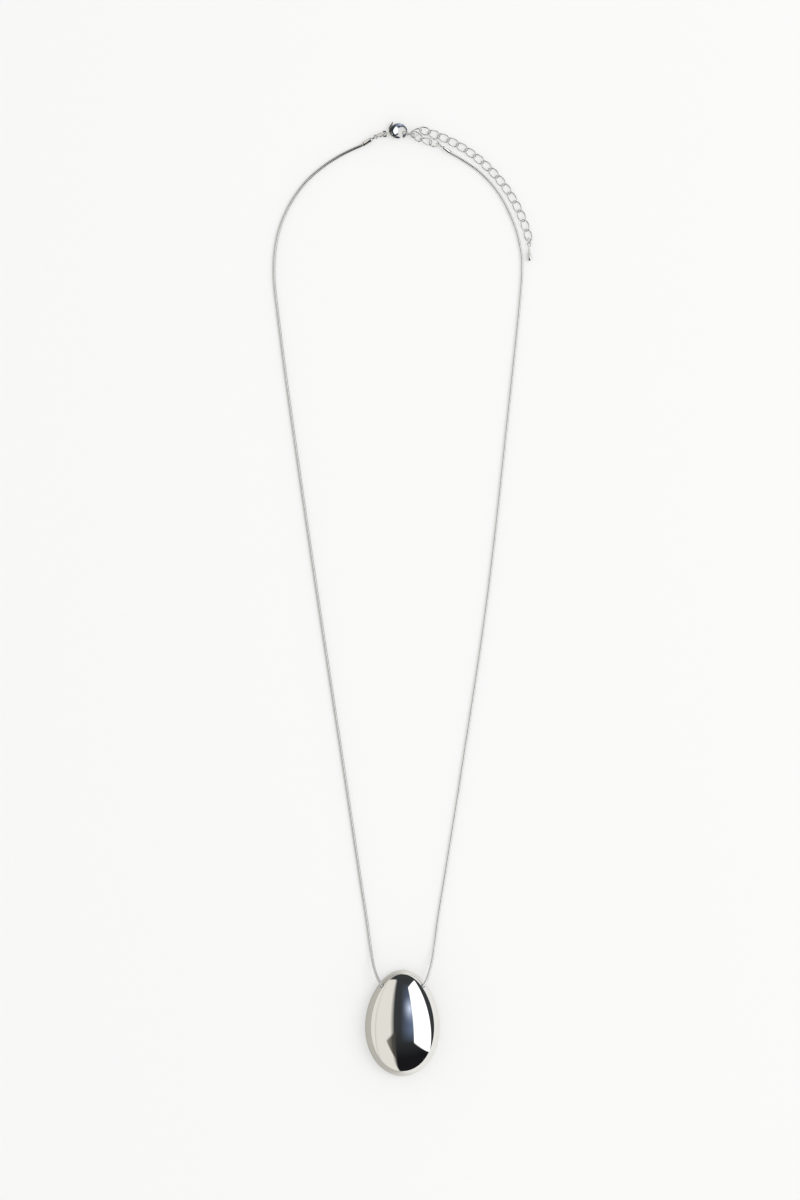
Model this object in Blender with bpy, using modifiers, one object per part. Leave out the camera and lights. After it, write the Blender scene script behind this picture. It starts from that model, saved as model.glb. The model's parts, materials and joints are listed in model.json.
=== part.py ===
"""A long necklace: a hollow egg pendant on a fine snake chain, with a lobster clasp and an extender chain.

Metres, +Z up. The necklace lies flat on Z = 0 with the clasp closed on a link of the extender chain.
The origin is the middle of the pendant's flat back. +Y runs from the pendant to the clasp and the
pendant's dome faces +Z. Every moving piece hangs from an empty that stands on its joint's axis.
"""
import math

import bmesh
import bpy
from mathutils import Euler, Matrix, Vector

MM = 0.001

# Pendant: an egg in plan, its narrow end at +Y, made of a domed front shell and a shallow back shell
EGG_HALF_LENGTH = 21.2 * MM
EGG_HALF_WIDTH = 14.95 * MM
EGG_TAPER = 0.08
EGG_TAPER_SQUARED = 0.02
DOME_ROUNDNESS = 0.65
DISH_ROUNDNESS = 0.25
SEAM_Z = 2.5 * MM
SEAM_GAP = 0.3 * MM
SHELL_WALL = 0.8 * MM
EGG_SEGMENTS = 44
DOME_RINGS = 22
DISH_RINGS = 28
TRIM_SIZE = 80 * MM

# The chain's two holes in the pendant's shoulders
HOLE_X = 8.3 * MM
HOLE_Y = 15.4 * MM
HOLE_Z = 5.7 * MM
HOLE_RADIUS = 1.05 * MM
HOLE_CUT = 6 * MM
HOLE_HEADING = math.radians(45)
HOLE_DROP = math.radians(6)

# Snake chain: x, y, z in millimetres from the left end cap, through the pendant, to the right end cap.
# It lies on the surface, rises over the pendant's edge and passes through the hollow in a shallow arc.
CHAIN_RADIUS = 0.575 * MM
CHAIN_ROUTE = (
    (-15.5, 351.15, 1.05), (-16.4, 350.6, 0.9), (-20.6, 348.8, 0.62), (-26.0, 346.0, 0.6),
    (-32.0, 342.0, 0.6), (-38.0, 336.8, 0.6), (-43.0, 330.5, 0.6), (-47.0, 323.3, 0.6),
    (-49.9, 315.0, 0.6), (-51.3, 306.0, 0.6), (-51.4, 296.9, 0.6), (-50.4, 287.0, 0.6),
    (-45.9, 252.0, 0.6), (-34.0, 170.0, 0.6), (-22.9, 97.0, 0.6), (-16.9, 57.0, 0.6),
    (-14.4, 41.0, 0.66), (-12.7, 29.0, 1.3), (-11.1, 21.2, 3.6), (-8.3, 15.4, 5.7),
    (-4.3, 12.9, 5.9), (0.0, 12.0, 5.9), (4.3, 12.9, 5.9),
    (8.3, 15.4, 5.7), (10.8, 21.2, 3.6), (12.4, 29.0, 1.3), (14.0, 41.0, 0.66),
    (16.6, 57.0, 0.6), (23.0, 97.0, 0.6), (33.9, 170.0, 0.6), (43.1, 252.0, 0.6),
    (46.9, 289.0, 0.6), (47.7, 303.0, 0.6), (46.6, 312.0, 0.6), (43.6, 321.5, 0.6),
    (38.0, 332.0, 0.6), (30.6, 340.1, 0.6), (22.4, 345.7, 0.62),
    (19.5, 347.35, 0.9), (18.6, 347.95, 1.05),
)
STEPS_PER_SPAN = 2

# End caps: a turned cup that holds the chain, with a loop; the placement is the loop's centre
CAP_LENGTH = 4.3 * MM
CAP_RADIUS = 0.85 * MM
CAP_BORE_RADIUS = 0.7 * MM
CAP_BORE_DEPTH = 1.2 * MM
CAP_NECK_RADIUS = 0.4 * MM
CAP_SHOULDER = 0.5 * MM
CAP_TO_LOOP = 1.85 * MM
CAP_LOOP_RADIUS = 0.75 * MM
CAP_LOOP_WIRE = 0.22 * MM
CAP_LEFT = ((-10.7, 354.05, 1.85), (-11, -8, 31))
CAP_RIGHT = ((14.3, 350.85, 1.6), (33, -6, 146))

# Jump rings, each with a slit where the wire was closed
JUMP_RING_RADIUS = 1.9 * MM
JUMP_RING_WIRE = 0.27 * MM
JUMP_RING_SLIT = math.radians(5)
CLASP_RING = ((-8.95, 354.65, 2.2), (80, 0, 17))
EXTENDER_RING = ((12.55, 351.45, 1.7), (48, 2, -18))

# Lobster clasp, lying on its side: a flat-faced claw about the eye, with the gate along its lower edge.
# Half the claw's width is given at angles about the eye, from the pivot over the top to the hook's tip.
CLASP_CENTRE = Vector((-1.5, 356.0, 1.65)) * MM
EYE_CENTRE = Vector((1.1, 0.2, 0)) * MM
EYE_HALF_LENGTH = 1.55 * MM
EYE_HALF_WIDTH = 1.62 * MM
CLAW_START = 222
CLAW_TIP = -79
CLAW_POINTS = 28
CLAW_RADII = ((222, 1.3), (180, 1.9), (140, 1.22), (90, 0.66), (45, 0.55), (0, 0.51), (-79, 0.66))
CLAW_HALF_THICKNESS = 1.1 * MM
TAIL_LOOP = Vector((-5.7, -0.9, 0)) * MM
TAIL_LOOP_RADIUS = 0.98 * MM
TAIL_LOOP_WIRE = 0.38 * MM
NECK_END = Vector((-2.9, -0.35, 0)) * MM
NECK_RADII = (0.42, 0.95, 1.1)
FACES_OUTLINE = ((-8, -5), (6, -5), (6, 5), (-8, 5))
PIVOT = Vector((-2.85, -1.05, 0)) * MM
PIN_RADIUS = 0.28 * MM
PIN_LENGTH = 2.4 * MM
PIN_HOLE_RADIUS = 0.42 * MM
PIN_HOLE_LENGTH = 5 * MM
LEVER_OUTLINE = (
    (-3.0, 3.5), (-4.2, 1.6), (-4.2, 0.6), (-3.5, -0.8), (-3.45, -1.4), (-3.0, -1.85), (-2.2, -2.3),
    (-1.2, -2.7), (0.55, -2.75), (0.7, -2.1), (-0.6, -1.75), (-1.9, -1.1), (-2.2, -0.3),
    (-3.2, 0.8), (-3.3, 1.5), (-2.2, 3.2),
)
LEVER_BOTTOM = -0.4 * MM
LEVER_THICKNESS = 0.7 * MM
SLOT_OUTLINE = (
    (-3.9, -3.2), (0.35, -3.2), (0.35, -0.1), (-1.9, 0.2), (-2.9, 1.2), (-2.7, 4.4), (-5.2, 4.4),
    (-5.2, 0.0), (-4.4, -0.5), (-4.1, -1.2),
)
SLOT_BOTTOM = -0.55 * MM
SLOT_TOP = 0.8 * MM
KNOB = Vector((-2.6, 3.45, 0)) * MM
KNOB_RADIUS = 0.42 * MM
KNOB_LENGTH = 1.3 * MM
SPRING_RADIUS = 0.5 * MM
SPRING_WIRE = 0.07 * MM
SPRING_TURNS = 1.75
SPRING_STEPS = 12
SPRING_START = math.radians(100)
SPRING_LEGS = (Vector((0.75, 0.15, 0)) * MM, Vector((0.1, 0.9, 0)) * MM)
SPRING_BOTTOM = 0.45 * MM
SPRING_PITCH = 0.15 * MM

# Extender chain: identical flat ovals, twisted a little so that neighbours pass over and under
LINK_HALF_LENGTH = 2.45 * MM
LINK_HALF_WIDTH = 1.42 * MM
LINK_TWIST = 0.5 * MM
LINK_WIRE = 0.25 * MM
LINK_POINTS = 22
LINK_PITCH = 4.1 * MM
LINK_COUNT = 20
# The first five links fold round the clasp: centre in millimetres, roll, pitch and heading in degrees
FOLDED_LINKS = (
    ((9.3, 352.4, 1.5), (-32, -3, -21)),
    ((5.75, 354.3, 1.3), (-13, 3, -44)),
    ((2.4, 355.15, 1.85), (90, -14, -11)),
    ((5.35, 355.5, 2.7), (25, -3, 33)),
    ((8.8, 356.3, 1.6), (-1, 22, -15)),
)
# The free tail lies flat beside the right strand in an even curve
TAIL_START = Vector((12.5, 355.1, 0.78)) * MM
TAIL_HEADING = -19
TAIL_TURN = -4

# Drop at the tail's end
CHARM_RING = ((50.59, 312.34, 1.45), (117, 7, -85))
CHARM_RING_RADIUS = 1.3 * MM
CHARM_RING_WIRE = 0.22 * MM
CHARM_LOOP = ((50.59, 311.04, 1.39), (-4, 2, -90))
CHARM_LOOP_RADIUS = 0.75 * MM
CHARM_LOOP_WIRE = 0.2 * MM
CHARM_LENGTH = 6.2 * MM
CHARM_RADIUS = 1.15 * MM
CHARM_STEM = 0.24
CHARM_BELLY = 1.9
CHARM_FULLNESS = 0.62
CHARM_SLIMMING = 0.35
CHARM_STEPS = 12

# Round sections
WIRE_RESOLUTION = 1
ROUND_RESOLUTION = 2
TURNED_STEPS = 24
MERGE = 0.000001

SILVER = (0.82, 0.82, 0.83)
BRIGHT_SILVER = (0.88, 0.88, 0.89)
CHAIN_SILVER = (0.62, 0.62, 0.63)


def clear_scene():
    for old in list(bpy.data.objects):
        bpy.data.objects.remove(old, do_unlink=True)


def new_collection(name):
    made = bpy.data.collections.new(name)
    bpy.context.scene.collection.children.link(made)
    return made


def metal(name, colour, roughness):
    material = bpy.data.materials.new(name)
    material.use_nodes = True
    shader = material.node_tree.nodes["Principled BSDF"]
    shader.inputs["Base Color"].default_value = (*colour, 1)
    shader.inputs["Metallic"].default_value = 1
    shader.inputs["Roughness"].default_value = roughness
    return material


def add_piece(name, data, colour=SILVER, roughness=0.1):
    """A named sub-part with a material of its own."""
    piece = bpy.data.objects.new(name, data)
    PARTS.objects.link(piece)
    if not data.materials:
        data.materials.append(metal(name, colour, roughness))
    return piece


def add_cutter(name, data):
    """A guide that cuts or joins a piece and is not itself built."""
    cutter = bpy.data.objects.new(name, data)
    CUTTERS.objects.link(cutter)
    cutter.hide_render = True
    cutter.display_type = "WIRE"
    return cutter


def combine(piece, other, operation):
    modifier = piece.modifiers.new(other.name, "BOOLEAN")
    modifier.operation = operation
    modifier.solver = "EXACT"
    modifier.object = other


def place(thing, placement):
    """Puts an object at a centre in millimetres, with roll, pitch and heading in degrees."""
    centre, angles = placement
    thing.location = Vector(centre) * MM
    thing.rotation_euler = Euler([math.radians(angle) for angle in angles])


def empty_origin(empty):
    """World position of an empty that stands on other empties."""
    total = Vector(empty.location)
    while empty.parent:
        empty = empty.parent
        total += Vector(empty.location)
    return total


def add_pivot(name, position, parent=None):
    """An empty on a joint's axis."""
    empty = bpy.data.objects.new(name, None)
    PARTS.objects.link(empty)
    empty.empty_display_size = MM
    empty.location = position
    if parent:
        empty.parent = parent
        empty.location = position - empty_origin(parent)
    return empty


def hang(piece, empty):
    """Parents a piece to an empty and leaves it where it is."""
    piece.parent = empty
    piece.matrix_parent_inverse = Matrix.Translation(-empty_origin(empty))


def mesh_from(build):
    """A mesh made by a function that fills a bmesh."""
    work = bmesh.new()
    build(work)
    mesh = bpy.data.meshes.new("mesh")
    work.to_mesh(mesh)
    work.free()
    return mesh


def shade(mesh, angle=40):
    mesh.shade_smooth()
    mesh.set_sharp_from_angle(angle=math.radians(angle))
    return mesh


def wire_curve(name, points, radius, closed=False, resolution=WIRE_RESOLUTION, radii=None):
    """A round wire through the given points."""
    curve = bpy.data.curves.new(name, "CURVE")
    curve.dimensions = "3D"
    curve.bevel_depth = radius
    curve.bevel_resolution = resolution
    curve.use_fill_caps = True
    spline = curve.splines.new("POLY")
    spline.points.add(len(points) - 1)
    for index, (target, point) in enumerate(zip(spline.points, points)):
        target.co = (*point, 1)
        target.radius = radii[index] if radii else 1
    spline.use_cyclic_u = closed
    spline.use_smooth = True
    return curve


def mesh_of_curve(curve):
    """A closed mesh of a wire, with its end caps welded on."""
    holder = bpy.data.objects.new(curve.name, curve)
    CUTTERS.objects.link(holder)
    bpy.context.view_layer.update()
    depsgraph = bpy.context.evaluated_depsgraph_get()
    mesh = bpy.data.meshes.new_from_object(holder.evaluated_get(depsgraph))
    bpy.data.objects.remove(holder, do_unlink=True)
    work = bmesh.new()
    work.from_mesh(mesh)
    bmesh.ops.remove_doubles(work, verts=work.verts, dist=MERGE)
    work.to_mesh(mesh)
    work.free()
    return mesh


def torus_mesh(radius, wire, segments=24, sides=8):
    ring = [(radius * math.cos(turn), radius * math.sin(turn), 0)
            for turn in (2 * math.pi * step / segments for step in range(segments))]
    return mesh_of_curve(wire_curve("torus", ring, wire, closed=True, resolution=sides // 2 - 2))


def cylinder_mesh(radius, length, segments=24):
    return mesh_from(lambda work: bmesh.ops.create_cone(
        work, cap_ends=True, segments=segments, radius1=radius, radius2=radius, depth=length))


def outline_mesh(points, bottom, top):
    """A flat plate with the given outline in millimetres, between two heights."""
    def build(work):
        ring = [work.verts.new((x * MM, y * MM, bottom)) for x, y in points]
        plate = bmesh.ops.extrude_face_region(work, geom=[work.faces.new(ring)])
        upper = [item for item in plate["geom"] if isinstance(item, bmesh.types.BMVert)]
        bmesh.ops.translate(work, vec=(0, 0, top - bottom), verts=upper)
        bmesh.ops.recalc_face_normals(work, faces=work.faces)
    return mesh_from(build)


def turned(name, profile, steps=TURNED_STEPS):
    """A mesh object's data turned from a profile that runs down the outer side from the axis."""
    mesh = bpy.data.meshes.new(name)
    mesh.from_pydata([(x, 0, z) for x, z in profile], [(i, i + 1) for i in range(len(profile) - 1)], [])
    holder = bpy.data.objects.new(name, mesh)
    CUTTERS.objects.link(holder)
    screw = holder.modifiers.new("turn", "SCREW")
    screw.steps = steps
    screw.render_steps = steps
    screw.use_merge_vertices = True
    screw.merge_threshold = MERGE
    screw.use_smooth_shade = True
    bpy.context.view_layer.update()
    depsgraph = bpy.context.evaluated_depsgraph_get()
    made = bpy.data.meshes.new_from_object(holder.evaluated_get(depsgraph))
    bpy.data.objects.remove(holder, do_unlink=True)
    return made


def smooth_route(route, steps):
    """Points on a smooth curve that passes through every point of the route."""
    points = [Vector(point) for point in route]
    points = [2 * points[0] - points[1], *points, 2 * points[-1] - points[-2]]
    result = []
    for before, start, end, after in zip(points, points[1:], points[2:], points[3:]):
        reach = (end - start).length
        leave = (end - before).normalized() * reach
        arrive = (after - start).normalized() * reach
        for step in range(steps):
            t = step / steps
            result.append(start * (2 * t**3 - 3 * t**2 + 1) + leave * (t**3 - 2 * t**2 + t)
                          + end * (3 * t**2 - 2 * t**3) + arrive * (t**3 - t**2))
    result.append(points[-2])
    return result


def egg(unit, roundness):
    """Takes a point of the unit sphere to the egg."""
    narrowing = 1 - EGG_TAPER * unit.y - EGG_TAPER_SQUARED * unit.y**2
    return Vector((
        unit.x * EGG_HALF_WIDTH * narrowing,
        unit.y * EGG_HALF_LENGTH,
        unit.z * EGG_HALF_WIDTH * narrowing * roundness,
    ))


def half_egg(rings, side, roundness):
    """Upper (side 1) or lower (side -1) half of the egg, with one ring more beyond the seam to trim."""
    spare = 1.05 * math.sin(math.pi / rings)

    def build(work):
        bmesh.ops.create_uvsphere(work, u_segments=EGG_SEGMENTS, v_segments=rings, radius=1)
        far = [vert for vert in work.verts if vert.co.z * side < -spare]
        bmesh.ops.delete(work, geom=far, context="VERTS")
        for vert in work.verts:
            vert.co = egg(vert.co, roundness) + Vector((0, 0, SEAM_Z))
    return mesh_from(build)


def shell(name, mesh, side):
    """An open half made into a wall, with its rim trimmed level at the seam."""
    piece = add_piece(name, shade(mesh), BRIGHT_SILVER, 0.03)
    wall = piece.modifiers.new("wall", "SOLIDIFY")
    wall.thickness = SHELL_WALL
    wall.offset = -1
    trim = add_cutter(f"{name}_trim", mesh_from(lambda work: bmesh.ops.create_cube(work, size=TRIM_SIZE)))
    trim.location.z = SEAM_Z + side * (SEAM_GAP - TRIM_SIZE) / 2
    combine(piece, trim, "DIFFERENCE")
    return piece


def pendant_front():
    piece = shell("pendant_front_shell", half_egg(DOME_RINGS, 1, DOME_ROUNDNESS), 1)
    for side, label in ((-1, "left"), (1, "right")):
        cutter = add_cutter(f"chain_hole_{label}", cylinder_mesh(HOLE_RADIUS, HOLE_CUT, segments=16))
        outward = Vector((side * math.cos(HOLE_HEADING), math.sin(HOLE_HEADING), -math.sin(HOLE_DROP)))
        cutter.location = (side * HOLE_X, HOLE_Y, HOLE_Z)
        cutter.rotation_euler = outward.to_track_quat("Z", "Y").to_euler()
        combine(piece, cutter, "DIFFERENCE")
    return piece


def pendant_back():
    """The dish is a lower, flatter half egg, cut off level where it rests."""
    mesh = half_egg(DISH_RINGS, -1, DISH_ROUNDNESS)
    work = bmesh.new()
    work.from_mesh(mesh)
    everything = work.verts[:] + work.edges[:] + work.faces[:]
    bmesh.ops.bisect_plane(work, geom=everything, plane_co=(0, 0, 0), plane_no=(0, 0, -1),
                           clear_outer=True, dist=MERGE)
    rest_edges = [edge for edge in work.edges
                  if edge.is_boundary and all(abs(vert.co.z) < MERGE for vert in edge.verts)]
    bmesh.ops.contextual_create(work, geom=rest_edges)
    bmesh.ops.recalc_face_normals(work, faces=work.faces)
    work.to_mesh(mesh)
    work.free()
    return shell("pendant_back_shell", mesh, -1)


def snake_chain():
    route = [Vector(point) * MM for point in smooth_route(CHAIN_ROUTE, STEPS_PER_SPAN)]
    curve = wire_curve("snake_chain", route, CHAIN_RADIUS, resolution=ROUND_RESOLUTION)
    return add_piece("snake_chain", curve, CHAIN_SILVER, 0.3)


def end_cap(name, placement):
    """A cup for the chain's end. Its own +X points from the mouth to the loop."""
    profile = (
        (0, -CAP_LOOP_RADIUS), (CAP_NECK_RADIUS, -CAP_LOOP_RADIUS), (CAP_NECK_RADIUS, -CAP_TO_LOOP),
        (CAP_RADIUS, -CAP_TO_LOOP - CAP_SHOULDER), (CAP_RADIUS, -CAP_TO_LOOP - CAP_LENGTH),
        (CAP_BORE_RADIUS, -CAP_TO_LOOP - CAP_LENGTH),
        (CAP_BORE_RADIUS, -CAP_TO_LOOP - CAP_LENGTH + CAP_BORE_DEPTH),
        (0, -CAP_TO_LOOP - CAP_LENGTH + CAP_BORE_DEPTH),
    )
    mesh = turned(name, profile)
    mesh.transform(Matrix.Rotation(math.pi / 2, 4, "Y"))
    piece = add_piece(name, shade(mesh), BRIGHT_SILVER, 0.05)
    place(piece, placement)
    loop = add_cutter(f"{name}_loop", torus_mesh(CAP_LOOP_RADIUS, CAP_LOOP_WIRE, segments=20))
    place(loop, placement)
    combine(piece, loop, "UNION")
    return piece


def jump_ring(name, radius, wire, placement, slit_at=90):
    half_slit = JUMP_RING_SLIT / 2
    points = []
    for step in range(LINK_POINTS + 1):
        turn = math.radians(slit_at) + half_slit + (2 * math.pi - JUMP_RING_SLIT) * step / LINK_POINTS
        points.append((radius * math.cos(turn), radius * math.sin(turn), 0))
    piece = add_piece(name, wire_curve(name, points, wire), BRIGHT_SILVER, 0.06)
    place(piece, placement)
    return piece


def claw_radius(angle):
    for (high, wide), (low, narrow) in zip(CLAW_RADII, CLAW_RADII[1:]):
        if angle >= low:
            return (narrow + (wide - narrow) * (angle - low) / (high - low)) * MM
    return CLAW_RADII[-1][1] * MM


def claw_point(angle):
    """Middle of the claw's section: half its width out from the eye's edge."""
    turn = math.radians(angle)
    reach = claw_radius(angle)
    return EYE_CENTRE + Vector((
        (EYE_HALF_LENGTH + reach) * math.cos(turn),
        (EYE_HALF_WIDTH + reach) * math.sin(turn),
        0,
    ))


def clasp_cylinder(name, centre, radius, length):
    cutter = add_cutter(name, cylinder_mesh(radius, length, segments=20))
    cutter.location = CLASP_CENTRE + centre
    return cutter


def clasp_body():
    """The claw runs from the pivot over the eye to its tip. A slot through its back takes the lever."""
    angles = [CLAW_START + (CLAW_TIP - CLAW_START) * step / (CLAW_POINTS - 1) for step in range(CLAW_POINTS)]
    radii = [claw_radius(angle) / MM for angle in angles]
    claw = wire_curve("clasp_body", [claw_point(angle) for angle in angles], MM,
                      resolution=ROUND_RESOLUTION + 1, radii=radii)
    piece = add_piece("clasp_body", shade(mesh_of_curve(claw)), BRIGHT_SILVER, 0.05)
    piece.location = CLASP_CENTRE

    loop = add_cutter("clasp_tail_loop", torus_mesh(TAIL_LOOP_RADIUS, TAIL_LOOP_WIRE, segments=20))
    loop.location = CLASP_CENTRE + TAIL_LOOP
    combine(piece, loop, "UNION")

    neck_start = TAIL_LOOP + Vector((TAIL_LOOP_RADIUS, 0, 0))
    neck_points = [neck_start, (neck_start + NECK_END) / 2, NECK_END]
    neck = wire_curve("neck", neck_points, MM, resolution=ROUND_RESOLUTION, radii=NECK_RADII)
    neck_guide = add_cutter("clasp_neck", mesh_of_curve(neck))
    neck_guide.location = CLASP_CENTRE
    combine(piece, neck_guide, "UNION")

    faces = outline_mesh(FACES_OUTLINE, -CLAW_HALF_THICKNESS, CLAW_HALF_THICKNESS)
    faces_guide = add_cutter("clasp_faces", faces)
    faces_guide.location = CLASP_CENTRE
    combine(piece, faces_guide, "INTERSECT")

    slot_cutter = add_cutter("clasp_slot", outline_mesh(SLOT_OUTLINE, SLOT_BOTTOM, SLOT_TOP))
    slot_cutter.location = CLASP_CENTRE
    combine(piece, slot_cutter, "DIFFERENCE")
    combine(piece, clasp_cylinder("clasp_pin_hole", PIVOT, PIN_HOLE_RADIUS, PIN_HOLE_LENGTH), "DIFFERENCE")
    return piece


def clasp_lever():
    """Thumb knob, arm, eye for the pin, and the gate that closes the claw."""
    mesh = outline_mesh(LEVER_OUTLINE, LEVER_BOTTOM, LEVER_BOTTOM + LEVER_THICKNESS)
    piece = add_piece("clasp_lever", shade(mesh), BRIGHT_SILVER, 0.05)
    piece.location = CLASP_CENTRE
    combine(piece, clasp_cylinder("clasp_knob", KNOB, KNOB_RADIUS, KNOB_LENGTH), "UNION")
    combine(piece, clasp_cylinder("lever_pin_hole", PIVOT, PIN_HOLE_RADIUS, PIN_HOLE_LENGTH), "DIFFERENCE")
    return piece


def clasp_pin():
    piece = add_piece("clasp_pin", shade(cylinder_mesh(PIN_RADIUS, PIN_LENGTH, segments=16)), SILVER, 0.15)
    piece.location = CLASP_CENTRE + PIVOT
    return piece


def clasp_spring():
    """A torsion coil on the pin above the lever, with a leg at each end."""
    coil = []
    for step in range(int(SPRING_TURNS * SPRING_STEPS) + 1):
        turn = SPRING_START + 2 * math.pi * step / SPRING_STEPS
        height = SPRING_BOTTOM + SPRING_PITCH * step / SPRING_STEPS
        coil.append(Vector((SPRING_RADIUS * math.cos(turn), SPRING_RADIUS * math.sin(turn), height)))
    first_leg = coil[0] + SPRING_LEGS[0]
    last_leg = coil[-1] + SPRING_LEGS[1]
    curve = wire_curve("clasp_spring", [first_leg, *coil, last_leg], SPRING_WIRE)
    piece = add_piece("clasp_spring", curve, SILVER, 0.3)
    piece.location = CLASP_CENTRE + PIVOT
    return piece


def link_wire():
    points = []
    for step in range(LINK_POINTS):
        turn = 2 * math.pi * step / LINK_POINTS
        points.append((
            LINK_HALF_LENGTH * math.cos(turn),
            LINK_HALF_WIDTH * math.sin(turn),
            LINK_TWIST * math.sin(2 * turn),
        ))
    wire = wire_curve("extender_link", points, LINK_WIRE, closed=True)
    wire.materials.append(metal("extender_link", BRIGHT_SILVER, 0.06))
    return wire


def link_placements():
    """The five folded links, then the tail's links one pitch apart along an even curve."""
    placements = list(FOLDED_LINKS)
    centre = TAIL_START.copy()
    heading = TAIL_HEADING
    while len(placements) < LINK_COUNT:
        placements.append((centre / MM, (0, 0, heading)))
        step = math.radians(heading + TAIL_TURN / 2)
        centre = centre + LINK_PITCH * Vector((math.cos(step), math.sin(step), 0))
        heading += TAIL_TURN
    return placements


def extender_links(placements):
    wire = link_wire()
    links = []
    for number, placement in enumerate(placements, start=1):
        link = add_piece(f"extender_link_{number:02d}", wire)
        place(link, placement)
        links.append(link)
    return links


def charm_drop():
    """A slim teardrop that hangs from a loop. Its own +X points from the loop to the tip."""
    top = CHARM_LOOP_RADIUS - CHARM_LOOP_WIRE / 2
    profile = [(0, -top)]
    for step in range(1, CHARM_STEPS):
        along = step / CHARM_STEPS
        stem = CHARM_STEM * (1 - along)
        swell = math.sin(math.pi * along**CHARM_BELLY) ** CHARM_FULLNESS * along**CHARM_SLIMMING
        profile.append((CHARM_RADIUS * (stem + (1 - stem) * swell), -top - CHARM_LENGTH * along))
    profile.append((0, -top - CHARM_LENGTH))
    mesh = turned("charm_drop", profile)
    mesh.transform(Matrix.Rotation(-math.pi / 2, 4, "Y"))
    piece = add_piece("charm_drop", shade(mesh, 60), BRIGHT_SILVER, 0.04)
    place(piece, CHARM_LOOP)
    loop = add_cutter("charm_loop", torus_mesh(CHARM_LOOP_RADIUS, CHARM_LOOP_WIRE, segments=20))
    place(loop, CHARM_LOOP)
    combine(piece, loop, "UNION")
    return piece


def build_pendant():
    swing = add_pivot("pendant_swing", Vector((0, HOLE_Y, HOLE_Z)))
    hang(pendant_front(), swing)
    hang(pendant_back(), swing)


def build_clasp():
    ring_pivot = add_pivot("clasp_ring_turn", Vector(CAP_LEFT[0]) * MM)
    hang(jump_ring("clasp_ring", JUMP_RING_RADIUS, JUMP_RING_WIRE, CLASP_RING), ring_pivot)
    clasp_pivot = add_pivot("clasp_turn", CLASP_CENTRE + TAIL_LOOP, ring_pivot)
    for piece in (clasp_body(), clasp_pin(), clasp_spring()):
        hang(piece, clasp_pivot)
    hang(clasp_lever(), add_pivot("clasp_lever_turn", CLASP_CENTRE + PIVOT, clasp_pivot))


def build_extender():
    """Each link turns about the point midway between it and the one before."""
    pivot = add_pivot("extender_ring_turn", Vector(CAP_RIGHT[0]) * MM)
    hang(jump_ring("extender_ring", JUMP_RING_RADIUS, JUMP_RING_WIRE, EXTENDER_RING), pivot)
    placements = link_placements()
    before = Vector(EXTENDER_RING[0]) * MM
    for number, (link, placement) in enumerate(zip(extender_links(placements), placements), start=1):
        centre = Vector(placement[0]) * MM
        pivot = add_pivot(f"link_{number:02d}_turn", (before + centre) / 2, pivot)
        hang(link, pivot)
        before = centre
    ring_centre = Vector(CHARM_RING[0]) * MM
    pivot = add_pivot("charm_ring_turn", (before + ring_centre) / 2, pivot)
    hang(jump_ring("charm_ring", CHARM_RING_RADIUS, CHARM_RING_WIRE, CHARM_RING), pivot)
    pivot = add_pivot("charm_turn", Vector(CHARM_LOOP[0]) * MM, pivot)
    hang(charm_drop(), pivot)


clear_scene()
PARTS = new_collection("pendant_necklace")
CUTTERS = new_collection("cutters")
snake_chain()
end_cap("end_cap_left", CAP_LEFT)
end_cap("end_cap_right", CAP_RIGHT)
build_pendant()
build_clasp()
build_extender()
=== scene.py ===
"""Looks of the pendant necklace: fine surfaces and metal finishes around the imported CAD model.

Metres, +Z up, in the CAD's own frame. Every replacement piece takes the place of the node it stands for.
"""
import json
import math

import bmesh
import bpy
import numpy as np
from mathutils import Matrix, Vector

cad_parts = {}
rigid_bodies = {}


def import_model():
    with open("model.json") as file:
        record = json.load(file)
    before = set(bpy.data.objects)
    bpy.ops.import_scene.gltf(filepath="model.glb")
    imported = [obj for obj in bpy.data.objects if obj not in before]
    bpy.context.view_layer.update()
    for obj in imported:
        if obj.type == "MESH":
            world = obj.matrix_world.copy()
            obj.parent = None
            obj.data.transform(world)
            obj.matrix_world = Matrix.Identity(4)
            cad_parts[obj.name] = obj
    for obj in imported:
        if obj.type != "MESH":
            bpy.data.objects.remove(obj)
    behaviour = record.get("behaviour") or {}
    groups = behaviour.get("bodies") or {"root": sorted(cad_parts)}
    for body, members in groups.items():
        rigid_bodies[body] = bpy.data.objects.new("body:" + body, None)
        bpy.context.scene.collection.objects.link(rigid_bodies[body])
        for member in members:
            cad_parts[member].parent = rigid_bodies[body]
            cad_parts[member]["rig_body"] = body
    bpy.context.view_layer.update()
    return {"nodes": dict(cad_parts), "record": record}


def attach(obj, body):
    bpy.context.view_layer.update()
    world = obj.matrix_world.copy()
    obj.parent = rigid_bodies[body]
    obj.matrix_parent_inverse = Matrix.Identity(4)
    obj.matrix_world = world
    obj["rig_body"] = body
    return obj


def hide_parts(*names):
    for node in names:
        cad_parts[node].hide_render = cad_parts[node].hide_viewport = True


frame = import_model()
MM = 0.001

# Camera: straight above the middle of the view, far enough away to see everything from the same side
VIEW_CENTRE = Vector((-1.04, 168.9, 0)) * MM
VIEW_HEIGHT = 480 * MM
CAMERA_DISTANCE = 1.5
SENSOR = 36

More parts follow.
